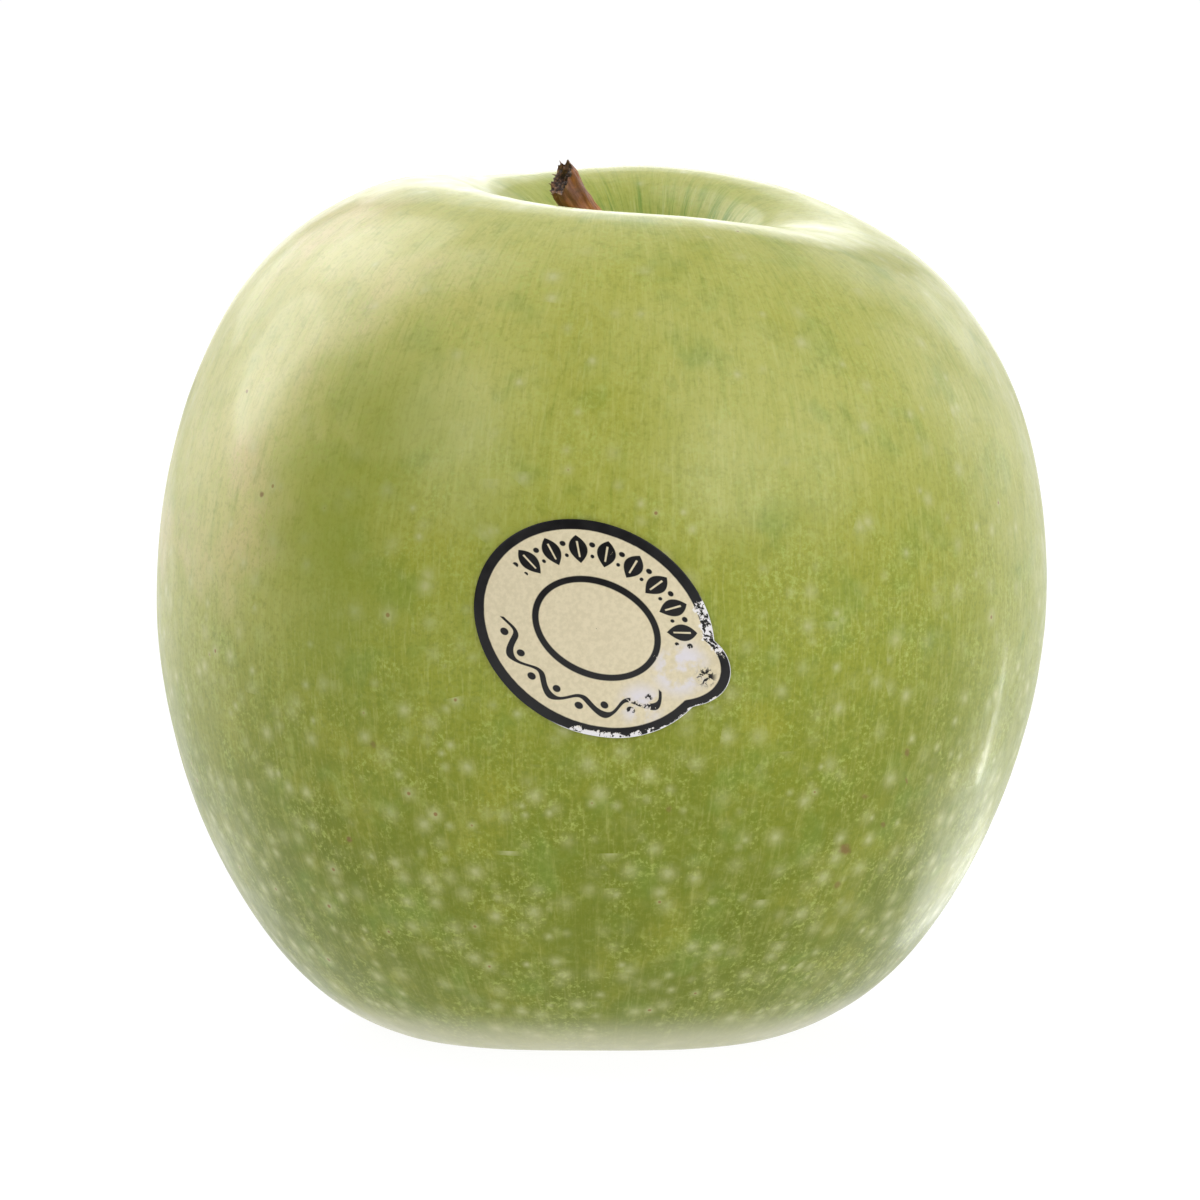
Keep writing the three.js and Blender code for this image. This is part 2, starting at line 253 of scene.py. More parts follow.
class Shader:
    def __init__(self, name):
        self.mat = bpy.data.materials.new(name)
        self.mat.use_nodes = True
        self.nt = self.mat.node_tree
        self.nt.nodes.clear()
        self.out = self.nt.nodes.new("ShaderNodeOutputMaterial")
        self.bsdf = self.nt.nodes.new("ShaderNodeBsdfPrincipled")
        self.nt.links.new(self.bsdf.outputs[0], self.out.inputs["Surface"])
        self.object = self.nt.nodes.new("ShaderNodeTexCoord").outputs["Object"]

    def _set(self, socket, value):
        if isinstance(value, bpy.types.NodeSocket):
            self.nt.links.new(value, socket)
        elif value is not None:
            socket.default_value = value

    def put(self, name, value):
        self._set(self.bsdf.inputs[name], value)

    def math(self, op, a, b=None, c=None, clamp=False):
        n = self.nt.nodes.new("ShaderNodeMath")
        n.operation, n.use_clamp = op, clamp
        for s, v in zip(n.inputs, (a, b, c)):
            self._set(s, v)
        return n.outputs[0]

    def add(self, a, b):
        return self.math("ADD", a, b)

    def sub(self, a, b):
        return self.math("SUBTRACT", a, b)

    def mul(self, a, b):
        return self.math("MULTIPLY", a, b)

    def vmath(self, op, a, b=None, scale=None):
        n = self.nt.nodes.new("ShaderNodeVectorMath")
        n.operation = op
        self._set(n.inputs[0], a)
        if b is not None:
            self._set(n.inputs[1], b)
        if scale is not None:
            self._set(n.inputs["Scale"], scale)
        return n.outputs["Value" if op in ("LENGTH", "DISTANCE", "DOT_PRODUCT") else "Vector"]

    def step(self, x, lo, hi, a=0.0, b=1.0):
        """Smooth step of x from lo to hi, giving a to b."""
        n = self.nt.nodes.new("ShaderNodeMapRange")
        n.interpolation_type = "SMOOTHSTEP"
        for s, v in zip(n.inputs, (x, lo, hi, a, b)):
            self._set(s, v)
        return n.outputs[0]

    def noise(self, vec, size_mm, detail=2.0, rough=0.5, distortion=0.0, raw=False):
        n = self.nt.nodes.new("ShaderNodeTexNoise")
        n.inputs["Scale"].default_value = 1.0 if raw else 1000.0 / size_mm
        n.inputs["Detail"].default_value = detail
        n.inputs["Roughness"].default_value = rough
        n.inputs["Distortion"].default_value = distortion
        self._set(n.inputs["Vector"], vec)
        return n.outputs["Fac"]

    def voronoi(self, vec, size_mm, feature="F1", randomness=1.0):
        n = self.nt.nodes.new("ShaderNodeTexVoronoi")
        n.feature = feature
        n.inputs["Scale"].default_value = 1000.0 / size_mm
        n.inputs["Randomness"].default_value = randomness
        self._set(n.inputs["Vector"], vec)
        return n

    def attr(self, name):
        n = self.nt.nodes.new("ShaderNodeAttribute")
        n.attribute_name = name
        return n

    def split(self, vec):
        n = self.nt.nodes.new("ShaderNodeSeparateXYZ")
        self._set(n.inputs[0], vec)
        return n.outputs

    def split_color(self, col):
        n = self.nt.nodes.new("ShaderNodeSeparateColor")
        self._set(n.inputs[0], col)
        return n.outputs

    def join(self, x, y, z):
        n = self.nt.nodes.new("ShaderNodeCombineXYZ")
        for s, v in zip(n.inputs, (x, y, z)):
            self._set(s, v)
        return n.outputs[0]

    def mix(self, fac, a, b, blend="MIX"):
        n = self.nt.nodes.new("ShaderNodeMix")
        n.data_type, n.blend_type = "RGBA", blend
        n.clamp_factor = True
        self._set(n.inputs[0], fac)
        self._set(n.inputs[6], a)
        self._set(n.inputs[7], b)
        return n.outputs[2]

    def ramp(self, fac, stops):
        n = self.nt.nodes.new("ShaderNodeValToRGB")
        el = n.color_ramp.elements
        while len(el) > 1:
            el.remove(el[-1])
        el[0].position, el[0].color = stops[0]
        for pos, col in stops[1:]:
            e = el.new(pos)
            e.color = col
        self._set(n.inputs[0], fac)
        return n.outputs[0]

    def bump(self, height, strength, distance_mm, normal=None):
        n = self.nt.nodes.new("ShaderNodeBump")
        n.inputs["Strength"].default_value = strength
        n.inputs["Distance"].default_value = distance_mm * MM
        self._set(n.inputs["Height"], height)
        if normal is not None:
            self._set(n.inputs["Normal"], normal)
        return n.outputs[0]


# ------------------------------------------------------------------ the fruit

COLS, ROWS = 288, 228


def build_apple():
    uu = np.linspace(0, 1, 6001)
    pr = bspline(MERIDIAN, uu)
    seg = np.linalg.norm(np.diff(pr, axis=0), axis=1)
    arc = np.concatenate([[0], np.cumsum(seg)])
    # rows a little closer together where the meridian bends or nears the axis
    weight = 1.0 + 0.8 * np.exp(-((pr[:, 0] - RIM_R) / 7.0) ** 2) + 0.5 * np.exp(-(pr[:, 0] / 6.0) ** 2)
    cum = np.concatenate([[0], np.cumsum(seg * 0.5 * (weight[1:] + weight[:-1]))])
    us = np.interp(np.linspace(0, cum[-1], ROWS + 2)[1:-1], cum, uu)
    s_of = np.interp(us, uu, arc)
    az = np.arange(COLS) / COLS * 2 * math.pi
    U, A = np.meshgrid(us, az, indexing="ij")
    P = skin(U, A).reshape(-1, 3)
    N = skin_normal(U, A).reshape(-1, 3)
    r = np.broadcast_to(bspline(MERIDIAN, us)[:, 0][:, None], U.shape).ravel()
    u = U.ravel()
    a = A.ravel()

    # soft unevenness of a grown fruit
    d = 0.16 * fractal(P, 26.0, 2, 3.1) + 0.035 * fractal(P, 7.0, 2, 8.7)
    # folds that run down the wall of the stem cavity
    cav = np.where(u > RIM_U, 1 - smooth((r - 1.0) / 13.0), 0.0)
    folds = sum(w * np.cos(k * a + ph) for k, w, ph in ((5, 0.55, 0.4), (8, 0.5, 2.0), (13, 0.32, 4.1), (19, 0.2, 1.2)))
    d += 0.20 * cav * folds * smooth(r / 2.5)
    # puckers round the calyx
    bas = np.where(u < 0.4, 1 - smooth((r - 3.0) / 11.0), 0.0)
    pucker = sum(w * np.cos(k * (a - LOBE_AZIMUTH) + ph) for k, w, ph in ((5, 0.9, 0.0), (10, 0.5, 0.9), (17, 0.25, 2.2)))
    d += 0.30 * bas * pucker * smooth(r / 3.0)
    # the crown keeps to the plane it stands on
    d *= smooth((P[:, 2] + 0.2) / 2.2)
    P = P + N * d[:, None]
    P[:, 2] = np.maximum(P[:, 2], 0.0)

    bottom = np.array([[CORE_X + LEAN * (MERIDIAN[0, 1] - EQUATOR_Z), 0, MERIDIAN[0, 1]]])
    top = np.array([[CORE_X + LEAN * (62.1 - EQUATOR_Z) + CAVITY_SHIFT_X + FLOOR_SHIFT_X, 0, 62.1]])
    verts = np.concatenate([P, bottom, top])
    faces = grid_faces(ROWS, COLS)
    nb, nt_ = len(P), len(P) + 1
    faces += [[nb, (i + 1) % COLS, i] for i in range(COLS)]
    last = (ROWS - 1) * COLS
    faces += [[nt_, last + i, last + (i + 1) % COLS] for i in range(COLS)]
    ob = make_mesh("apple_fruit", verts, faces)

    # coordinates that run with the fruit: round it, and along the meridian
    S = np.broadcast_to(s_of[:, None], U.shape).ravel()
    run = np.stack([np.cos(a), np.sin(a), S / 40.0], -1)
    run = np.concatenate([run, [[0, 0, 0]], [[0, 0, arc[-1] / 40.0]]])
    point_attr(ob, "run", "FLOAT_VECTOR", run)

    # broad zones of the skin
    Nn = np.concatenate([N, [[0, 0, -1]], [[0, 0, 1]]])
    V = verts
    # the upper left shoulder faces this way: paler skin there, plus a painted highlight standing in for the key light's
    # reflection
    pale_side_dir = np.array([-0.74, -0.33, 0.58])
    pale_side_dir /= np.linalg.norm(pale_side_dir)
    pale_skin_and_painted_highlight = smooth((Nn @ pale_side_dir - 0.62) / 0.36)
    low = 1 - smooth((V[:, 2] - 8.0) / 58.0)
    rr = np.concatenate([r, [0, 0]])
    uq = np.concatenate([u, [0, 1]])
    cavity = np.where(uq > RIM_U, 1 - smooth((rr - 2.0) / (RIM_R - 2.0)), 0.0)
    basin = np.where(uq < 0.4, 1 - smooth((rr - 4.0) / 13.0), 0.0)
    point_attr(ob, "zones", "FLOAT_COLOR", np.stack([pale_skin_and_painted_highlight, low, cavity, basin], -1))
    return ob


def skin_material():
    m = Shader("apple_skin_waxy")
    obj = m.object
    run = m.attr("run").outputs["Vector"]
    zones = m.attr("zones")
    z = m.split_color(zones.outputs["Color"])
    pale_skin_and_painted_highlight, low, cavity = z[0], z[1], z[2]
    basin = zones.outputs["Alpha"]

    # ground colour, deeper green low down, lighter over the shoulder
    cloud = m.noise(obj, 17.0, 3.0, 0.55, 0.4)
    cloud2 = m.noise(obj, 5.5, 3.0, 0.6, 0.3)
    grade = m.add(low, m.mul(m.sub(cloud, 0.5), 0.45))
    col = m.ramp(grade, [
        (0.00, lin(170, 171, 76)),
        (0.50, lin(141, 148, 34)),
        (1.00, lin(107, 118, 9)),
    ])
    # patches that turn bluer green or more yellow
    col = m.mix(m.step(cloud2, 0.50, 0.74, 0.0, 0.50), col, lin(118, 144, 52))
    col = m.mix(m.step(m.noise(m.vmath("ADD", obj, (0.31, 0.17, 0.09)), 8.0, 3.0, 0.6), 0.48, 0.72, 0.0, 0.45), col, lin(158, 158, 46))

    # paler, slightly rosy skin on the upper left side: partly the skin's own sun-side colour, partly a painted
    # highlight where the key light reflects off the shoulder
    blotch = m.noise(m.vmath("ADD", obj, (0.11, 0.42, 0.23)), 9.0, 4.0, 0.62, 0.5)
    pale = m.mul(pale_skin_and_painted_highlight, m.step(blotch, 0.25, 0.72, 0.35, 1.0))
    col = m.mix(m.mul(pale, 0.74), col, lin(206, 197, 132))
    rosy = m.mul(pale_skin_and_painted_highlight, m.step(m.noise(m.vmath("ADD", obj, (0.7, 0.1, 0.5)), 12.0, 3.0, 0.5), 0.52, 0.72))
    col = m.mix(m.mul(rosy, 0.50), col, lin(224, 194, 160))

    # fine streaks that run from stem to calyx, plainer on the upper half
    high = m.sub(1.0, low)
    streak = m.noise(m.vmath("MULTIPLY", run, (52.0, 52.0, 5.0)), 1.0, 4.0, 0.65, 0.4, raw=True)
    streak2 = m.noise(m.vmath("MULTIPLY", run, (120.0, 120.0, 17.0)), 1.0, 3.0, 0.6, 0.5, raw=True)
    s_amt = m.add(m.mul(high, 0.55), 0.45)
    col = m.mix(m.mul(m.step(streak, 0.50, 0.72, 0.0, 0.34), s_amt), col, lin(190, 191, 106))
    col = m.mix(m.mul(m.step(streak, 0.48, 0.28, 0.0, 0.30), s_amt), col, lin(118, 142, 36))
    col = m.mix(m.mul(m.step(streak2, 0.52, 0.72, 0.0, 0.42), s_amt), col, lin(186, 188, 108))
    col = m.mix(m.mul(m.step(streak2, 0.48, 0.28, 0.0, 0.24), s_amt), col, lin(112, 132, 26))

    # the grain of cells under the cuticle, frosted in patches
    grain = m.noise(obj, 0.42, 3.0, 0.68)
    patch = m.noise(m.vmath("ADD", obj, (0.61, 0.22, 0.35)), 5.0, 3.0, 0.6, 0.6)
    frost = m.mul(m.step(grain, 0.50, 0.66), m.step(patch, 0.40, 0.66, 0.10, 0.62))
    col = m.mix(frost, col, lin(172, 184, 92))
    col = m.mix(m.mul(m.step(grain, 0.50, 0.34, 0.0, 0.34), m.step(low, 0.0, 0.6, 0.5, 1.0)), col, lin(98, 116, 16))
    flake = m.noise(m.vmath("ADD", obj, (0.05, 0.33, 0.71)), 1.3, 3.0, 0.65, 0.5)
    col = m.mix(m.step(flake, 0.50, 0.72, 0.0, 0.26), col, lin(170, 180, 96))
    col = m.mix(m.step(flake, 0.48, 0.28, 0.0, 0.22), col, lin(106, 124, 24))

    # lenticels: soft feathered spots, more and larger towards the calyx
    feather = m.mul(m.sub(m.noise(obj, 0.45, 3.0, 0.7), 0.5), 0.55)

    def spots(size, radius, offset, share_low, share_high):
        v = m.voronoi(m.vmath("ADD", obj, offset), size)
        pick = m.split_color(v.outputs["Color"])
        share = m.add(m.mul(low, share_low - share_high), share_high)
        keep = m.math("LESS_THAN", pick[0], share)
        # distances are counted in cells
        x = m.math("MULTIPLY_ADD", v.outputs["Distance"], size / radius, feather)
        halo = m.math("EXPONENT", m.mul(m.mul(x, x), -1.6))
        core = m.math("EXPONENT", m.mul(m.mul(x, x), -9.0))
        return m.mul(halo, keep), m.mul(core, keep), m.math("LESS_THAN", pick[1], 0.16), v.outputs["Distance"]

    halo, core, corky = None, None, None
    for size, radius, offset, lo_s, hi_s in (
        (2.9, 1.00, (0.013, 0.027, 0.041), 0.80, 0.06),
        (2.7, 0.84, (0.531, 0.113, 0.267), 0.75, 0.08),
        (2.1, 0.56, (0.190, 0.550, 0.370), 0.42, 0.12),
        (2.3, 0.44, (0.720, 0.310, 0.110), 0.26, 0.14),
    ):
        h_, c_, k_, d_ = spots(size, radius, offset, lo_s, hi_s)
        ck = m.mul(m.mul(m.step(d_, 0.045, 0.09, 1.0, 0.0), k_), m.math("GREATER_THAN", h_, 0.01))
        halo = h_ if halo is None else m.math("MAXIMUM", halo, h_)
        core = c_ if core is None else m.math("MAXIMUM", core, c_)
        corky = ck if corky is None else m.math("MAXIMUM", corky, ck)
    big = halo
    col = m.mix(m.mul(halo, 0.56), col, lin(182, 184, 124))
    col = m.mix(m.mul(core, 0.28), col, lin(204, 204, 158))
    col = m.mix(m.mul(corky, 0.80), col, lin(134, 92, 44))
    # tiny bright flecks
    fl = m.voronoi(m.vmath("ADD", obj, (0.4, 0.1, 0.9)), 0.8)
    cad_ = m.mul(m.step(fl.outputs["Distance"], 0.08, 0.20, 1.0, 0.0), m.math("LESS_THAN", m.split_color(fl.outputs["Color"])[2], 0.34))
    col = m.mix(m.mul(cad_, m.step(patch, 0.35, 0.6, 0.08, 0.28)), col, lin(196, 200, 112))

    # greener cavity with dark radial lines
    col = m.mix(m.mul(cavity, 0.55), col, lin(134, 164, 62))
    rad = m.noise(m.vmath("MULTIPLY", run, (11.0, 11.0, 2.2)), 1.0, 5.0, 0.72, 0.3, raw=True)
    col = m.mix(m.mul(m.step(rad, 0.46, 0.66, 0.0, 0.85), m.step(cavity, 0.0, 0.45)), col, lin(92, 134, 36))
    rad2 = m.noise(m.vmath("MULTIPLY", run, (30.0, 30.0, 7.0)), 1.0, 4.0, 0.7, 0.3, raw=True)
    col = m.mix(m.mul(m.step(rad2, 0.50, 0.70, 0.0, 0.38), m.step(cavity, 0.0, 0.4)), col, lin(200, 206, 140))
    russet = m.mul(m.step(cavity, 0.80, 0.99), m.step(m.noise(obj, 2.2, 3.0, 0.6), 0.42, 0.60))
    col = m.mix(m.mul(russet, 0.7), col, lin(122, 104, 52))
    # russet round the calyx
    rb = m.mul(m.step(basin, 0.55, 1.0), m.step(m.noise(obj, 1.8, 4.0, 0.65), 0.40, 0.62))
    col = m.mix(m.mul(rb, 0.6), col, lin(124, 104, 54))

    # painted reflection: a paler ring where the skin turns under, standing in for the bright floor reflected in the
    # lower edge
    col = m.mix(m.step(m.split(obj)[2], 0.0008, 0.0048, 0.68, 0.0), col, lin(202, 200, 168))

    # a deeper green shade that slants down the left of the front cheek
    for x, zz, rx, rz, strength in ((-17.5, 57.0, 6.5, 6.5, 0.42), (-23.5, 45.5, 6.5, 11.0, 0.62), (-8.0, 44.0, 5.0, 9.0, 0.20)):
        u, a = front_cheek(np.array(x), np.array(zz))
        c = (skin(u, a) + SHIFT) * MM
        q = m.vmath("MULTIPLY", m.vmath("SUBTRACT", obj, tuple(float(v) for v in c)), (1000.0 / rx, 500.0 / rx, 1000.0 / rz))
        d2 = m.math("POWER", m.add(m.vmath("LENGTH", q), m.mul(m.sub(blotch, 0.5), 0.9)), 2.0)
        col = m.mix(m.mul(m.math("EXPONENT", m.mul(d2, -1.1)), strength), col, lin(124, 138, 34))

    # small healed scars on the lower right cheek
    scars = [  # x, z in mm on the front cheek, turn in degrees, half length, half width, strength
        (26.6, 27.6, 12, 0.45, 0.28, 0.75), (26.6, 25.0, 24, 1.25, 0.13, 0.75), (22.9, 24.0, 70, 0.45, 0.25, 0.6),
        (24.6, 21.2, 60, 0.40, 0.25, 0.7), (21.2, 19.3, 40, 0.75, 0.50, 0.9), (20.6, 16.0, 0, 0.42, 0.36, 0.7),
        (-29.3, 49.8, 0, 0.26, 0.24, 0.9), (-21.7, 20.2, 30, 0.36, 0.30, 0.9), (-30.8, 58.2, 0, 0.22, 0.18, 0.8),
        (-19.5, 29.0, 10, 0.34, 0.26, 0.6), (5.9, 23.8, 0, 0.3, 0.25, 0.5),
    ]
    total = None
    for x, zz, turn, hl, hw, strength in scars:
        u, a = front_cheek(np.array(x), np.array(zz))
        c = (skin(u, a) + SHIFT) * MM
        rel = m.vmath("SUBTRACT", obj, tuple(float(q) for q in c))
        n = m.nt.nodes.new("ShaderNodeVectorRotate")
        n.rotation_type = "Y_AXIS"
        m.nt.links.new(rel, n.inputs["Vector"])
        n.inputs["Angle"].default_value = math.radians(turn)
        q = m.vmath("MULTIPLY", n.outputs[0], (1000.0 / hw, 500.0 / hw, 1000.0 / hl))
        dist = m.add(m.vmath("LENGTH", q), m.mul(m.sub(m.noise(obj, 0.35, 2.0, 0.6), 0.5), 1.1))
        k = m.mul(m.step(dist, 0.35, 1.25, 1.0, 0.0), strength * 0.9)
        total = k if total is None else m.math("MAXIMUM", total, k)
    col = m.mix(total, col, lin(122, 92, 44))

    m.put("Base Color", col)
    m.put("Roughness", m.step(m.noise(obj, 3.0, 3.0, 0.6), 0.3, 0.7, 0.33, 0.43))
    m.put("IOR", 1.45)
    # the bloom on the shoulder is glossier than the mottled skin below
    m.put("Specular IOR Level", m.step(low, 0.15, 0.85, 0.5, 0.22))
    m.put("Coat Weight", 0.26)
    m.put("Coat Roughness", 0.13)
    m.put("Coat IOR", 1.4)
    m.put("Subsurface Weight", 0.12)
    m.put("Subsurface Radius", (1.0, 0.9, 0.35))
    m.put("Subsurface Scale", 0.0022)
    height = m.add(m.mul(grain, 0.6), m.add(m.mul(big, 0.5), m.mul(m.noise(obj, 1.5, 2.0, 0.5), 0.5)))
    m.put("Normal", m.bump(height, 0.35, 0.035))
    return m.mat


# ------------------------------------------------------------------- the stem


def path_point(pts, t):
    """Catmull-Rom through pts, t in 0..1; runs straight on beyond both ends."""
    n = len(pts) - 1
    x = t * n
    k = int(min(max(math.floor(x), 0), n - 1))
    f = x - k
    p1, p2 = pts[k], pts[k + 1]
    p0 = pts[k - 1] if k > 0 else 2 * p1 - p2
    p3 = pts[k + 2] if k + 2 <= n else 2 * p2 - p1
    if f < 0 or f > 1:
        d = (p2 - p0) / 2 if f < 0 else (p3 - p1) / 2
        return (p1 if f < 0 else p2) + d * (f if f < 0 else f - 1)
    return 0.5 * ((2 * p1) + (p2 - p0) * f + (2 * p0 - 5 * p1 + 4 * p2 - p3) * f * f + (3 * p1 - p0 - 3 * p2 + p3) * f ** 3)


def tube(points, radii, sides=8):
    P = np.array(points, float)
    T = np.gradient(P, axis=0)
    T /= np.linalg.norm(T, axis=1, keepdims=True)
    ref = np.array([0.3, 0.2, 1.0]) if abs(T[0][2]) < 0.9 else np.array([1.0, 0.1, 0])
    e1 = np.cross(T, ref)
    e1 /= np.linalg.norm(e1, axis=1, keepdims=True)
    e2 = np.cross(T, e1)
    ph = np.arange(sides) / sides * 2 * math.pi
    V = [P[j] + radii[j] * (math.cos(x) * e1[j] + math.sin(x) * e2[j]) for j in range(len(P)) for x in ph]
    F = grid_faces(len(P), sides)
    V += [P[0], P[-1]]
    a, b = len(V) - 2, len(V) - 1
    F += [[(i + 1) % sides, i, a] for i in range(sides)]
    l = (len(P) - 1) * sides
    F += [[l + i, l + (i + 1) % sides, b] for i in range(sides)]
    return V, F


def build_stem():
    sides, rings = 72, 110
    fine = np.linspace(-0.13, 1.12, 501)
    Cf = np.array([path_point(STEM_LINE, t) for t in fine])
    Tf = np.gradient(Cf, axis=0)
    Tf /= np.linalg.norm(Tf, axis=1, keepdims=True)
    # frame with E1 to the right and E2 to the back, square to the stem
    E1f = np.array([1.0, 0, 0]) - Tf * Tf[:, :1]
    E1f /= np.linalg.norm(E1f, axis=1, keepdims=True)
    E2f = np.cross(Tf, E1f)
    phi = np.arange(sides) / sides * 2 * math.pi
    rad_f = np.interp(fine, [-0.13, 0.0, 0.2, 0.45, 0.62, 0.8, 0.92, 1.0, 1.12], [1.45, 1.2, 1.12, 1.2, 1.40, 1.50, 1.58, 1.50, 1.40])

    def surface(i, p, extra=0.0):
        t = fine[i]
        tw = p + 0.5 * t
        ridge = 0.040 * math.cos(5 * tw + 0.6) + 0.030 * math.cos(9 * tw + 2.1) + 0.018 * math.cos(16 * tw + 5.0)
        q = Vector((math.cos(p) * 1.5, math.sin(p) * 1.5, t * 8.0))
        lump = 0.10 * noise.noise(q) + 0.06 * noise.noise(q * 2.7 + Vector((4, 1, 7)))
        r = rad_f[i] * (1 + ridge + lump) + extra
        return Cf[i] + E1f[i] * (r * math.cos(p)) + E2f[i] * (r * math.sin(p))

    # the stem broke off along a slant that faces left and a little to the front
    nrm = np.array(STEM_BREAK_NORMAL) / np.linalg.norm(STEM_BREAK_NORMAL)
    at = np.array(STEM_BREAK_AT)
    ends = []
    for p in phi:
        hit = len(fine) - 1
        rag = 0.30 * noise.noise(Vector((math.cos(p) * 2.6, math.sin(p) * 2.6, 5.0))) + 0.20 * noise.noise(Vector((math.cos(p) * 7.0, math.sin(p) * 7.0, 2.0)))
        for i in range(240, len(fine)):
            if (surface(i, p) - at) @ nrm > rag:
                hit = i
                break
        ends.append(hit)
    verts = []
    bark_t = []
    for j in range(rings):
        f = j / (rings - 1)
        for i in range(sides):
            k = int(round(f * ends[i]))
            # a low collar just under the break
            near = math.exp(-((1 - f) * ends[i] / 500 * 14 / 0.55) ** 2)
            verts.append(surface(k, phi[i], -0.10 * near))
            bark_t.append(fine[k])
    faces = grid_faces(rings, sides)
    last = (rings - 1) * sides
    rim = np.array(verts[last:last + sides])
    mid = rim.mean(0)
    endm = [0.0] * len(verts)
    for j in range(rings - 5, rings):
        for i in range(sides):
            endm[j * sides + i] = 0.10 * (j - rings + 6)
    # the broken face: rough, darker and hollowed towards its middle
    inner = 18
    for k in range(1, inner):
        f = 1 - k / inner
        for i in range(sides):
            base = mid + (rim[i] - mid) * f
            q = Vector((base[0], base[1], base[2]))
            h = 0.34 * noise.noise(q * 1.3) + 0.34 * noise.noise(q * 2.6 + Vector((3, 3, 3))) + 0.22 * noise.noise(q * 5.5)
            fibre = 0.16 * noise.noise(Vector((math.cos(phi[i]) * 5, math.sin(phi[i]) * 5, 9 * f)))
            verts.append(base + nrm * (-0.62 * (1 - f ** 3) + (h + fibre) * min(1.0, 4.0 * (1 - f))))
            endm.append(1.0)
        start = last + (k - 1) * sides
        nxt = last + k * sides
        for i in range(sides):
            i2 = (i + 1) % sides
            faces.append([start + i, start + i2, nxt + i2, nxt + i])
    verts.append(mid - nrm * 0.6)
    endm.append(1.0)
    c = len(verts) - 1
    start = last + (inner - 1) * sides
    faces += [[start + i, start + (i + 1) % sides, c] for i in range(sides)]
    # closed root inside the flesh
    verts.append(Cf[0] - Tf[0] * 0.3)
    endm.append(0.0)
    c0 = len(verts) - 1
    faces += [[(i + 1) % sides, i, c0] for i in range(sides)]
    # a few torn fibres stand up at the far lip of the break
    for a0, length, lean, thick in ((1.9, 0.34, -0.75, 0.13), (2.5, 0.22, -0.6, 0.12), (1.2, 0.20, 0.2, 0.11), (3.4, 0.22, -0.5, 0.10)):
        i = int(round(a0 / (2 * math.pi) * sides)) % sides
        root = np.array(verts[last + i])
        d = Tf[480] * 0.9 + E1f[480] * lean + nrm * 0.2
        d /= np.linalg.norm(d)
        side_dir = np.cross(d, nrm)
        pts = [root - d * 0.5 + side_dir * 0.12 * math.sin(2.2 * s + a0) + d * (length + 0.5) * s for s in np.linspace(0, 1, 8)]
        v, f_ = tube(pts, [thick * (1.15 - s) for s in np.linspace(0, 1, 8)], 6)
        faces += [[q + len(verts) for q in ff] for ff in f_]
        verts += v
        endm += [0.55] * len(v)
    ob = make_mesh("stem_wood", np.array(verts), faces)
    V = np.array(verts)
    tpar = (V - Cf[0]) @ (Cf[-1] - Cf[0]) / np.linalg.norm(Cf[-1] - Cf[0])
    point_attr(ob, "end", "FLOAT", endm)
    ang = np.zeros(len(verts))
    ang[: rings * sides] = np.tile(phi, rings)
    run = np.stack([np.cos(ang), np.sin(ang), tpar], -1)
    run[rings * sides:, :2] *= 0.3
    point_attr(ob, "run", "FLOAT_VECTOR", run)
    return ob


def stem_material():
    m = Shader("stem_bark_brown")
    obj = m.object
    run = m.attr("run").outputs["Vector"]
    end = m.attr("end").outputs["Fac"]
    h = m.split(run)[2]
    fibre = m.noise(m.vmath("MULTIPLY", run, (5.0, 5.0, 0.55)), 1.0, 4.0, 0.65, 0.0, raw=True)
    blot = m.noise(obj, 1.3, 4.0, 0.62, 0.4)
    tone = m.add(m.mul(fibre, 0.55), m.mul(blot, 0.45))
    col = m.ramp(tone, [
        (0.32, lin(108, 60, 28)),
        (0.46, lin(158, 96, 44)),
        (0.56, lin(188, 124, 62)),
        (0.68, lin(210, 158, 98)),
    ])
    # low down golden, higher up a purplish brown
    col = m.mix(m.step(h, 11.0, 6.0, 0.0, 0.55), col, lin(186, 138, 62))
    col = m.mix(m.mul(m.step(h, 12.4, 14.6, 0.0, 0.75), m.step(blot, 0.30, 0.60)), col, lin(92, 54, 46))
    col = m.mix(m.step(blot, 0.60, 0.74, 0.0, 0.55), col, lin(70, 40, 24))
    spot = m.voronoi(obj, 0.7)
    sp = m.mul(m.step(spot.outputs["Distance"], 0.12, 0.26, 1.0, 0.0), m.math("LESS_THAN", m.split_color(spot.outputs["Color"])[0], 0.30))
    col = m.mix(m.mul(sp, 0.7), col, lin(186, 148, 100))
    # broken end: nearly black with pale torn fibres
    torn = m.add(m.mul(m.noise(obj, 0.42, 4.0, 0.7, 0.3), 0.6), m.mul(m.noise(obj, 1.3, 2.0, 0.5, 0.3), 0.4))
    endcol = m.ramp(torn, [
        (0.36, lin(26, 18, 14)),
        (0.47, lin(64, 42, 30)),
        (0.55, lin(132, 92, 60)),
        (0.65, lin(204, 166, 120)),
    ])
    col = m.mix(m.step(end, 0.10, 0.9), col, endcol)
    m.put("Base Color", col)
    m.put("Roughness", m.step(fibre, 0.3, 0.7, 0.42, 0.60))
    m.put("Specular IOR Level", 0.5)
    height = m.add(m.mul(fibre, 1.0), m.add(m.mul(m.noise(obj, 0.35, 3.0, 0.6), 0.6), m.mul(sp, 0.4)))
    m.put("Normal", m.bump(height, 0.7, 0.12))
    return m.mat


# ------------------------------------------------------------------ the label


def label_edge(t):
    a, b = LABEL_SEMI
    oval = a * b / np.hypot(b * np.cos(t), a * np.sin(t))
    d = t - LABEL_TAB_TURN
    across = LABEL_TAB_AT * np.sin(d)
    inside = (np.abs(across) < LABEL_TAB_R) & (np.cos(d) > 0)
    tab = np.where(inside, LABEL_TAB_AT * np.cos(d) + np.sqrt(np.maximum(LABEL_TAB_R ** 2 - across ** 2, 0)), 0)
    # the tab grows out of the oval with small fillets
    k = 1.5
    tab = np.where(inside, tab, oval - 3.0)
    hh = np.clip(0.5 + 0.5 * (tab - oval) / k, 0, 1)
    return oval + (tab - oval) * hh + k * hh * (1 - hh)


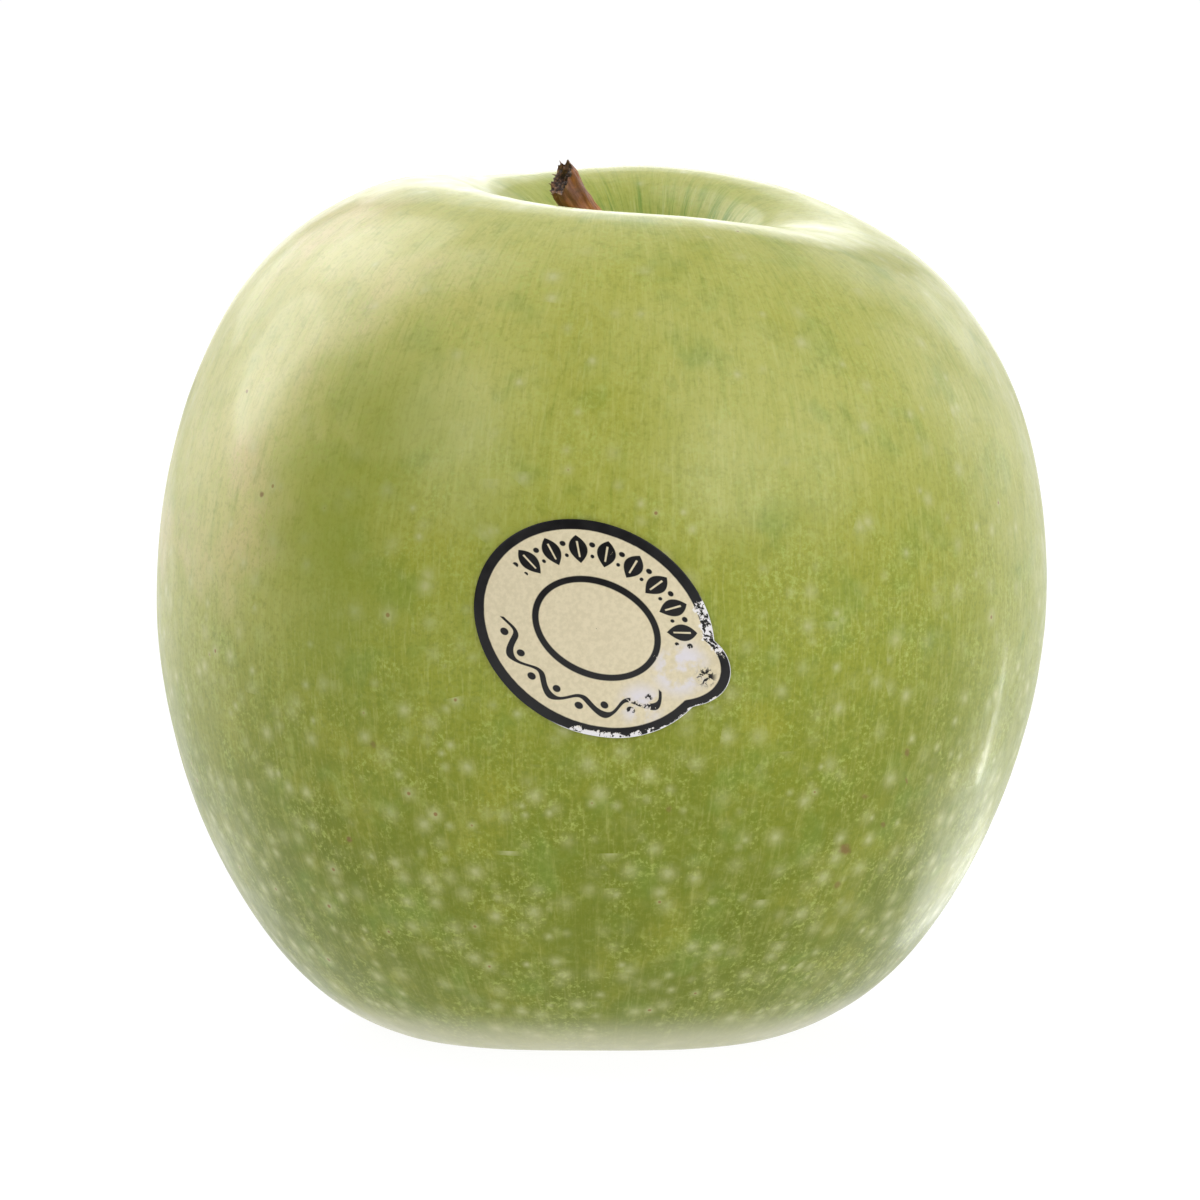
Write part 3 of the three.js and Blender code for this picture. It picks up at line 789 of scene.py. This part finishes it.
def build_label():
    sides = 320
    t = np.arange(sides) / sides * 2 * math.pi
    # bunch the outline points round the tab
    t = t + 0.30 * np.sin(t - LABEL_TAB_TURN) * -0.55
    R = label_edge(t)
    dist = np.array([0.0, 0.03, 0.10, 0.25, 0.45, 0.62, 0.74, 0.80, 0.86, 0.95, 1.1, 1.35, 1.7, 2.1, 2.5, 2.9, 3.3, 3.7, 4.1, 4.5, 4.9])
    rings = [R - d for d in dist]
    core = R - dist[-1]
    for f in (0.86, 0.72, 0.58, 0.44, 0.30, 0.16):
        rings.append(core * f)
    K = len(rings)
    r = np.array(rings)                     # outermost first
    tt = np.broadcast_to(t, r.shape)
    p, q = r * np.cos(tt), r * np.sin(tt)
    x = LABEL_CENTRE[0] + r * np.cos(tt + LABEL_TILT)
    z = LABEL_CENTRE[1] + r * np.sin(tt + LABEL_TILT)
    u, a = front_cheek(x, z)
    S, N = skin(u, a), skin_normal(u, a)
    dd = np.broadcast_to(np.concatenate([dist, np.full(K - len(dist), 6.0)])[:, None], r.shape)
    edge = np.maximum(dd, 0)
    # the tab stands a little off the skin, and the lower right edge curls
    tabness = np.exp(-(((tt - LABEL_TAB_TURN + math.pi) % (2 * math.pi) - math.pi) / 0.30) ** 2) * smooth((r - 8.6) / 3.2)
    lower = np.exp(-((((tt + math.radians(48)) + math.pi) % (2 * math.pi) - math.pi) / 0.62) ** 2)
    ripple = 0.5 + 0.5 * np.sin(9 * tt + 1.0)
    lift = 0.42 * tabness + (0.16 + 0.10 * ripple) * lower * np.exp(-(edge / 0.9) ** 2)
    lift = lift + 0.03 * np.exp(-(edge / 0.5) ** 2) * (0.5 + 0.5 * np.sin(13 * tt))
    low_off, thick = 0.05, 0.13
    # the paper bridges small hollows of the skin, so it follows the plain surface
    bot = S + N * (low_off + lift)[..., None]
    top = S + N * (low_off + thick + lift)[..., None]
    # rounded cut edge
    top[0] = S[0] + N[0] * (low_off + thick * 0.72 + lift[0])[..., None]
    verts = list(top.reshape(-1, 3)) + list(bot.reshape(-1, 3))
    faces = grid_faces(K, sides)            # rings run inwards: top faces the viewer
    faces = [f[::-1] for f in faces]
    off = K * sides
    faces += grid_faces(K, sides, start=off)
    faces += [[i, off + i, off + (i + 1) % sides, (i + 1) % sides] for i in range(sides)]
    uc, ac = front_cheek(np.array(LABEL_CENTRE[0]), np.array(LABEL_CENTRE[1]))
    Sc, Nc = skin(uc, ac), skin_normal(uc, ac)
    verts.append(Sc + Nc * (low_off + thick))
    verts.append(Sc + Nc * low_off)
    ct, cb = len(verts) - 2, len(verts) - 1
    lt = (K - 1) * sides
    faces += [[lt + (i + 1) % sides, lt + i, ct] for i in range(sides)]
    faces += [[off + lt + i, off + lt + (i + 1) % sides, cb] for i in range(sides)]
    ob = make_mesh("fruit_label", np.array(verts), faces)
    me = ob.data
    P = np.concatenate([p.ravel(), p.ravel(), [0, 0]])
    Q = np.concatenate([q.ravel(), q.ravel(), [0, 0]])
    E = np.concatenate([edge.ravel(), edge.ravel(), [6, 6]])
    face = np.concatenate([np.ones(K * sides), np.zeros(K * sides), [1, 0]])
    face[:sides] = 1.0
    point_attr(ob, "print_co", "FLOAT_VECTOR", np.stack([P, Q, E], -1))
    point_attr(ob, "printed", "FLOAT", face)
    # a light UV layout of the flat label, for anyone who unwraps it
    uv = me.uv_layers.new(name="label_flat")
    loops = np.empty(len(me.loops), np.int32)
    me.loops.foreach_get("vertex_index", loops)
    flat = np.stack([P / 30 + 0.5, Q / 30 + 0.5], -1)[loops]
    uv.data.foreach_set("uv", flat.astype(np.float32).ravel())
    return ob


def label_material():
    m = Shader("label_printed_paper")
    obj = m.object
    co = m.attr("print_co").outputs["Vector"]
    pq = m.split(co)
    p, q, edge = pq[0], pq[1], pq[2]
    soft = 0.05

    # border band
    wob = m.mul(m.sub(m.noise(obj, 0.5, 2.0, 0.5), 0.5), 0.05)
    border = m.step(m.add(edge, wob), 0.88 - soft, 0.88 + soft, 1.0, 0.0)
    rim_white = m.step(m.add(edge, wob), 0.02, 0.09, 1.0, 0.0)

    # inner oval ring, turned a little against the outline
    turn = math.radians(6.9)
    c, s = math.cos(turn), math.sin(turn)
    pc, qc = m.sub(p, 0.14), m.sub(q, 0.16)
    pi_ = m.add(m.mul(pc, c), m.mul(qc, s))
    qi = m.sub(m.mul(qc, c), m.mul(pc, s))
    ra, rb = 5.72, 4.17
    k = m.math("SQRT", m.add(m.math("POWER", m.mul(pi_, 1 / ra), 2.0), m.math("POWER", m.mul(qi, 1 / rb), 2.0)))
    rad = m.math("SQRT", m.add(m.mul(pi_, pi_), m.mul(qi, qi)))
    # distance inwards from the oval, in mm
    inward = m.mul(m.sub(1.0, k), m.math("DIVIDE", rad, m.math("MAXIMUM", k, 0.05)))
    ring = m.mul(m.step(inward, -soft, soft), m.step(inward, 0.58 - soft, 0.58 + soft, 1.0, 0.0))

    # plain ornament in the band between: a chain of pointed leaves and dots
    # above, a running vine with berries below
    ang = m.math("ARCTAN2", m.mul(q, 1 / 6.9), m.mul(p, 1 / 8.9))   # round the band
    mid = m.math("SQRT", m.add(m.math("POWER", m.mul(p, 1 / 8.05), 2.0), m.math("POWER", m.mul(q, 1 / 6.25), 2.0)))
    off_mid = m.mul(m.sub(mid, 1.0), 7.1)           # mm outwards from the band's middle

    def motif(count, shift):
        """Signed distance in mm along the band from the middle of the nearest motif."""
        turns = m.math("MULTIPLY_ADD", ang, count / (2 * math.pi), 100.0 + shift)
        return m.mul(m.sub(m.math("FRACT", turns), 0.5), 2 * math.pi * 7.15 / count)

    def disc(x, y, r):
        return m.step(m.math("SQRT", m.add(m.mul(x, x), m.mul(y, y))), r - 0.035, r + 0.035, 1.0, 0.0)

    def arc(lo, hi):
        return m.mul(m.step(ang, math.radians(lo), math.radians(lo + 1)), m.step(ang, math.radians(hi - 1), math.radians(hi), 1.0, 0.0))

    along = motif(20.0, 0.5)
    t = m.mul(off_mid, 1 / 1.24)
    leaf = m.step(m.sub(m.mul(m.sub(1.0, m.mul(t, t)), 0.76), m.math("ABSOLUTE", along)), -0.03, 0.05)
    # a light vein down the middle of each leaf
    vein = m.mul(m.step(m.math("ABSOLUTE", along), 0.05, 0.10, 1.0, 0.0), m.step(m.math("ABSOLUTE", off_mid), 0.66, 0.74, 1.0, 0.0))
    leaf = m.mul(leaf, m.sub(1.0, vein))
    between = motif(20.0, 0.0)
    dots = m.math("MAXIMUM", disc(between, m.sub(off_mid, 0.52), 0.23), disc(between, m.add(off_mid, 0.52), 0.17))
    chain = m.mul(m.math("MAXIMUM", leaf, dots), arc(24, 172))
    swing = m.mul(ang, 11.0)
    wave_y = m.mul(m.math("SINE", swing), 0.62)
    # the stroke swells on its falling side like one made with a broad pen
    pen = m.mul(m.step(m.math("SINE", m.add(swing, 1.2)), -0.6, 0.8), 0.17)
    wave = m.step(m.sub(m.math("ABSOLUTE", m.sub(off_mid, wave_y)), pen), 0.13, 0.20, 1.0, 0.0)
    berry_in = disc(motif(11.0, 0.25), m.add(off_mid, 0.28), 0.33)
    berry_out = disc(motif(11.0, 0.75), m.sub(off_mid, 0.28), 0.33)
    wave = m.mul(m.math("MAXIMUM", wave, m.math("MAXIMUM", berry_in, berry_out)), arc(-150, -14))

    ink = m.math("MAXIMUM", m.math("MAXIMUM", border, ring), m.math("MAXIMUM", chain, wave))

    # the ink is scuffed away beside the tab and along the lower right edge; this is partly real wear and partly a
    # painted reflection, white specks and a pale haze where the glossy label catches the light
    def near(cp, cq, r0, r1):
        d = m.vmath("DISTANCE", m.join(p, q, 0.0), (cp, cq, 0.0))
        return m.step(d, r0, r1, 1.0, 0.0)

    theta = m.math("ARCTAN2", q, p)

    def sector(lo, hi, soft_deg):
        return m.mul(m.step(theta, math.radians(lo - soft_deg), math.radians(lo + soft_deg)), m.step(theta, math.radians(hi - soft_deg), math.radians(hi + soft_deg), 1.0, 0.0))

    glare_haze_mask = m.math("MAXIMUM", near(8.0, 1.0, 1.2, 3.1), near(6.8, -3.4, 0.6, 2.6))
    side = m.mul(sector(19, 48, 3), m.step(edge, 0.9, 1.5, 1.0, 0.0))
    foot = m.mul(sector(-74, -24, 4), m.step(edge, 0.25, 0.85, 1.0, 0.0))
    tail = m.mul(sector(-30, 4, 4), m.step(edge, 0.12, 0.30, 1.0, 0.0))
    wear_and_glare = m.math("MAXIMUM", m.math("MAXIMUM", glare_haze_mask, side), m.math("MAXIMUM", foot, tail))
    speck = m.noise(obj, 0.42, 3.0, 0.70, 0.5)
    speck_big = m.noise(m.vmath("ADD", obj, (0.2, 0.6, 0.4)), 1.5, 2.0, 0.5)
    level = m.add(m.add(speck, m.mul(m.sub(speck_big, 0.5), 0.5)), m.mul(m.sub(wear_and_glare, 1.0), 0.34))
    scuff_and_glare = m.step(level, 0.455, 0.50)
    ink = m.mul(ink, m.sub(1.0, m.mul(scuff_and_glare, 0.96)))
    # some ink rubbed off on the tab
    smear = m.mul(near(10.2, 1.5, 0.45, 1.05), m.step(speck, 0.50, 0.54))
    ink = m.math("MAXIMUM", ink, smear)

    paper_noise = m.noise(obj, 0.4, 3.0, 0.6)
    paper = m.mix(m.step(paper_noise, 0.35, 0.65), lin(210, 198, 165), lin(220, 208, 176))
    # painted reflection: a pale lavender haze over the paper beside the tab and at the lower right
    glare_haze_patches = m.mul(glare_haze_mask, m.step(m.add(speck_big, m.mul(speck, 0.4)), 0.56, 0.80))
    paper = m.mix(m.mul(glare_haze_patches, 0.85), paper, lin(218, 214, 222))
    # white specks: partly bare paper where the ink wore off, partly painted glints
    bare_paper_and_glints = m.mul(scuff_and_glare, m.math("MAXIMUM", side, m.math("MAXIMUM", foot, tail)))
    paper = m.mix(m.mul(bare_paper_and_glints, 0.9), paper, lin(236, 234, 238))
    col = m.mix(ink, paper, m.mix(m.step(paper_noise, 0.3, 0.7), lin(5, 4, 5), lin(13, 11, 12)))
    cut = m.mul(rim_white, sector(-80, 45, 6))
    col = m.mix(cut, col, lin(240, 240, 242))
    printed = m.attr("printed").outputs["Fac"]
    col = m.mix(m.step(printed, 0.2, 0.8), lin(236, 236, 238), col)
    m.put("Base Color", col)
    m.put("Roughness", m.add(m.mul(ink, -0.08), m.step(m.noise(obj, 0.9, 3.0, 0.6), 0.3, 0.7, 0.36, 0.50)))
    m.put("Specular IOR Level", 0.36)
    m.put("Coat Weight", 0.06)
    m.put("Coat Roughness", 0.2)
    m.put("Normal", m.bump(m.add(m.noise(obj, 1.8, 2.0, 0.5), m.mul(m.mul(wear_and_glare, speck), 0.8)), 0.3, 0.05))
    return m.mat


# ------------------------------------------------------------------ the calyx

BASIN = skin(np.array(0.0), np.array(0.0))


def build_sepal(n):
    turn = SEPAL_AZIMUTH + n / SEPALS * 2 * math.pi
    curl = 1 + 0.25 * math.sin(2.3 * n + 0.7)
    rows, cols = 40, 18
    verts = []
    r2 = np.random.default_rng(40 + n)
    phase = r2.uniform(0, 6, 4)
    for side in (1, -1):
        for j in range(rows):
            s = j / (rows - 1)
            # broad at the root, drawn out to a thin twisted point
            half = 1.55 * (1 - s) ** 0.75 * (0.72 + 0.42 * math.sin(math.pi * min(1, s * 1.6 + 0.25))) + 0.05
            for i in range(cols):
                w = -1 + 2 * i / (cols - 1)
                edge_noise = 1 + 0.10 * math.sin(7 * s * 6 + phase[0] + 2 * w) * abs(w)
                across = w * half * edge_noise
                thick = 0.16 * (1 - 0.6 * s) * max(0.0, 1 - w ** 4) * side
                cup = 0.22 * across * across * (1 - 0.3 * s)
                radial = 3.3 - 1.15 * math.sin(math.pi * min(1, s * 1.15)) + 2.5 * curl * s ** 3 + cup + thick
                radial += 0.10 * math.sin(5 * w + phase[1] + 6 * s) * s
                drop = -0.5 + 5.7 * s - 0.7 * s ** 4 * curl
                tw = 0.35 * s * math.sin(phase[2])
                a2 = across * math.cos(tw)
                x = radial + across * math.sin(tw) * 0.6
                verts.append((
                    BASIN[0] + x * math.cos(turn) - a2 * math.sin(turn),
                    x * math.sin(turn) + a2 * math.cos(turn),
                    BASIN[2] - drop,
                ))
    V = np.array(verts)
    n1 = rows * cols
    faces = [f for f in grid_faces(rows, cols, closed=False)]
    faces += grid_faces(rows, cols, closed=False, start=n1, flip=True)
    ring = ([j * cols for j in range(rows)] + [(rows - 1) * cols + i for i in range(1, cols)]
            + [j * cols + cols - 1 for j in range(rows - 2, -1, -1)] + [i for i in range(cols - 2, 0, -1)])
    for k in range(len(ring)):
        a, b = ring[k], ring[(k + 1) % len(ring)]
        faces.append([a, b, n1 + b, n1 + a])
    ob = make_mesh("calyx_sepal_%d" % (n + 1), V, faces)
    return ob


def build_stamens():
    r2 = np.random.default_rng(99)
    V, F = [], []
    for k in range(22):
        a0 = r2.uniform(0, 2 * math.pi)
        r0 = r2.uniform(0.2, 1.2)
        bend = r2.uniform(-0.7, 0.7)
        length = r2.uniform(2.6, 4.3)
        pts, rad = [], []
        for j in range(15):
            s = j / 14
            a = a0 + bend * s
            r = r0 + (r2.uniform(-0.02, 0.02)) + 0.55 * s * s * math.sin(a0 * 3)
            pts.append((BASIN[0] + r * math.cos(a), r * math.sin(a), BASIN[2] + 0.5 - (length + 0.5) * s))
            rad.append(0.10 - 0.03 * s + (0.16 * math.exp(-((s - 0.95) / 0.06) ** 2)))
        v, f = tube(pts, rad, 7)
        F += [[q + len(V) for q in ff] for ff in f]
        V += v
    return make_mesh("calyx_stamens", np.array(V), F)


def dry_material():
    m = Shader("calyx_dry_brown")
    obj = m.object
    n1 = m.noise(obj, 0.9, 4.0, 0.65, 0.3)
    n2 = m.noise(m.vmath("MULTIPLY", obj, (1.0, 1.0, 0.25)), 0.35, 3.0, 0.6)
    col = m.ramp(n1, [
        (0.30, lin(52, 38, 22)),
        (0.48, lin(92, 70, 40)),
        (0.62, lin(128, 104, 62)),
        (0.76, lin(164, 144, 98)),
    ])
    col = m.mix(m.step(n2, 0.5, 0.7, 0.0, 0.45), col, lin(150, 138, 104))
    m.put("Base Color", col)
    m.put("Roughness", m.step(n1, 0.3, 0.7, 0.78, 0.94))
    m.put("Specular IOR Level", 0.3)
    m.put("Normal", m.bump(m.add(n2, n1), 0.7, 0.1))
    return m.mat


# ------------------------------------------------------------------- assembly

apple = build_apple()
apple.data.materials.append(skin_material())
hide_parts("apple")
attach(apple, "root")

stem = build_stem()
stem.data.materials.append(stem_material())
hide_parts("stem")
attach(stem, "root")

label = build_label()
label.data.materials.append(label_material())
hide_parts("sticker")
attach(label, "root")

dry = dry_material()
for n in range(SEPALS):
    sepal = build_sepal(n)
    sepal.data.materials.append(dry)
    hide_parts("sepal_%d" % (n + 1))
    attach(sepal, "root")
stamens = build_stamens()
stamens.data.materials.append(dry)
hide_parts("stamen_tuft")
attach(stamens, "root")

# ---------------------------------------------------------------- the setting

floor_mesh = bpy.data.meshes.new("floor")
H = 1.35
floor_mesh.from_pydata([(-H, -H, 0), (H, -H, 0), (H, H, 0), (-H, H, 0)], [], [[0, 1, 2, 3]])
floor = bpy.data.objects.new("floor", floor_mesh)
bpy.context.scene.collection.objects.link(floor)
fm = bpy.data.materials.new("floor_white")
fm.use_nodes = True
fb = fm.node_tree.nodes["Principled BSDF"]
fb.inputs["Base Color"].default_value = (0.10, 0.10, 0.10, 1)
fb.inputs["Roughness"].default_value = 0.9
fb.inputs["Specular IOR Level"].default_value = 0.1
fb.inputs["Emission Color"].default_value = (1, 1, 1, 1)
fb.inputs["Emission Strength"].default_value = 0.93
floor_mesh.materials.append(fm)

scene = bpy.context.scene
world = bpy.data.worlds.new("studio")
scene.world = world
world.use_nodes = True
wt = world.node_tree
wt.nodes.clear()
wo = wt.nodes.new("ShaderNodeOutputWorld")
seen = wt.nodes.new("ShaderNodeBackground")
seen.inputs["Color"].default_value = (1, 1, 1, 1)
seen.inputs["Strength"].default_value = 1.02
lit = wt.nodes.new("ShaderNodeBackground")
lp = wt.nodes.new("ShaderNodeLightPath")
mx = wt.nodes.new("ShaderNodeMixShader")
lit.inputs["Color"].default_value = (1, 1, 1, 1)
lit.inputs["Strength"].default_value = 0.05
wt.links.new(lp.outputs["Is Camera Ray"], mx.inputs[0])
wt.links.new(lit.outputs[0], mx.inputs[1])
wt.links.new(seen.outputs[0], mx.inputs[2])
wt.links.new(mx.outputs[0], wo.inputs["Surface"])


# A tent of round diffusers about the fruit: azimuth from the camera's side
# towards the right, elevation, brightness.  The brightest stand behind the
# left shoulder, the next ones in front to the right and to the left.
DIFFUSERS = [
    (51, 6, 0.54), (77, 6, 0.30), (103, 6, 0.55), (129, 6, 1.40), (154, 6, 1.15), (180, 6, 2.00),
    (206, 6, 0.90), (231, 6, 1.40), (257, 6, 0.35),
    (30, 24, 3.70), (60, 24, 2.40), (90, 24, 0.98), (120, 24, 1.63), (150, 24, 1.15), (180, 24, 1.70),
    (210, 24, 1.80), (240, 24, 4.30), (328, 24, 1.60),
    (36, 45, 1.70), (72, 45, 1.50), (108, 45, 0.60), (144, 45, 0.80), (180, 45, 0.70), (216, 45, 3.30),
    (252, 45, 2.70), (324, 45, 1.10),
    (228, 36, 0.90), (316, 36, 1.70),
    (0, 66, 0.80), (60, 66, 1.20), (120, 66, 0.65), (180, 66, 0.65), (240, 66, 2.10), (0, 89, 0.25),
]
TENT_RADIUS = 1.6
DIFFUSER_RADIUS = TENT_RADIUS * math.tan(math.radians(13))
middle = Vector((0, 0, 0.04))
for az, el, bright in DIFFUSERS:
    a_, e_ = math.radians(az), math.radians(el)
    d = Vector((math.sin(a_) * math.cos(e_), -math.cos(a_) * math.cos(e_), math.sin(e_)))
    lamp = bpy.data.lights.new("diffuser_%03d_%02d" % (az, el), "AREA")
    lamp.shape = "DISK"
    lamp.size = 2 * DIFFUSER_RADIUS
    lamp.energy = bright * math.pi * math.pi * DIFFUSER_RADIUS ** 2
    lamp_ob = bpy.data.objects.new(lamp.name, lamp)
    scene.collection.objects.link(lamp_ob)
    lamp_ob.location = middle + d * TENT_RADIUS
    lamp_ob.rotation_mode = "QUATERNION"
    lamp_ob.rotation_quaternion = (-d).to_track_quat("-Z", "Y")
    lamp_ob.visible_camera = False



def table_lamp(name, where_mm, size_mm, turn, bright):
    """A lit panel that lies on the table and shines upwards."""
    d = bpy.data.lights.new(name, "AREA")
    d.shape = "RECTANGLE"
    d.size, d.size_y = size_mm[0] * MM, size_mm[1] * MM
    d.energy = bright * math.pi * d.size * d.size_y
    o = bpy.data.objects.new(name, d)
    scene.collection.objects.link(o)
    o.location = Vector(where_mm) * MM
    o.rotation_euler = (math.pi, 0, turn)
    o.visible_camera = False


table_lamp("glow_right", (60, 27, 1.0), (44, 64), math.radians(-12), 1.4)
table_lamp("glow_left", (-62, 24, 1.0), (40, 50), math.radians(12), 0.3)
table_lamp("strip_right_1", (91, 46.5, 1.5), (44, 2.6), math.radians(41), 17.0)
table_lamp("strip_right_2", (124, 75, 1.5), (44, 3.4), math.radians(41), 15.0)
table_lamp("strip_right_3", (157, 104, 1.5), (44, 4.4), math.radians(41), 9.0)

cam = bpy.data.cameras.new("camera")
cam.lens = CAMERA_LENS
cam.sensor_width = 36.0
cam.clip_start, cam.clip_end = 0.01, 20.0
cam_ob = bpy.data.objects.new("camera", cam)
scene.collection.objects.link(cam_ob)
target = Vector(((SHIFT[0]) * MM, SHIFT[1] * MM, CAMERA_HEIGHT * MM))
view_dir = Vector((0, math.cos(CAMERA_ELEVATION), -math.sin(CAMERA_ELEVATION)))
cam_ob.location = target - view_dir * CAMERA_DISTANCE
cam_ob.rotation_mode = "QUATERNION"
cam_ob.rotation_quaternion = view_dir.to_track_quat("-Z", "Y")
scene.camera = cam_ob

scene.view_settings.view_transform = "Standard"
scene.view_settings.look = "None"
